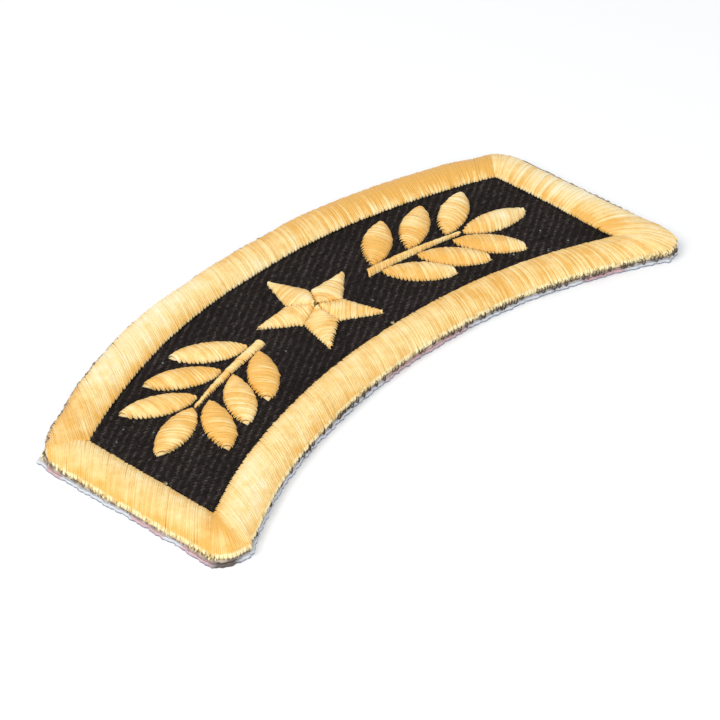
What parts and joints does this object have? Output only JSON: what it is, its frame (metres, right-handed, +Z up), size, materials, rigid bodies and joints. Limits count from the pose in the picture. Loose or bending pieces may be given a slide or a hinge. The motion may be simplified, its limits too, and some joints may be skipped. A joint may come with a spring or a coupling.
{
  "type": "rocker patch",
  "caption": "Flat curved cloth badge: black twill field, raised golden satin-stitched border, star and laurel sprigs, and a stiff white backing.",
  "frame": {"origin": "middle of the patch's footprint, on the underside of the backing", "axes": "+X along the patch's width, the way it reads; +Y towards the outside of its curve; +Z up from the underside to the stitched face"},
  "size_m": [0.0762, 0.0374, 0.0023],
  "materials": {
    "backing": "stiff white heat-seal layer, matte, a little fuzzy at the cut",
    "twill": "black twill with fine diagonal ribs, matte",
    "border_thread": "golden embroidery thread in satin stitch, soft sheen along the threads",
    "figure_thread": "golden embroidery thread in satin stitch, soft sheen along the threads"
  },
  "bodies": {
    "root": {"backing": "backing", "twill_ground": "twill", "satin_border": "border_thread", "star": "figure_thread", "left_stem": "figure_thread", "right_stem": "figure_thread", "left_tip_leaf": "figure_thread", "right_tip_leaf": "figure_thread", "left_upper_leaf_1": "figure_thread", "left_lower_leaf_1": "figure_thread", "left_upper_leaf_2": "figure_thread", "left_lower_leaf_2": "figure_thread", "left_upper_leaf_3": "figure_thread", "left_lower_leaf_3": "figure_thread", "right_upper_leaf_1": "figure_thread", "right_lower_leaf_1": "figure_thread", "right_upper_leaf_2": "figure_thread", "right_lower_leaf_2": "figure_thread", "right_upper_leaf_3": "figure_thread", "right_lower_leaf_3": "figure_thread"}
  },
  "joints": []
}
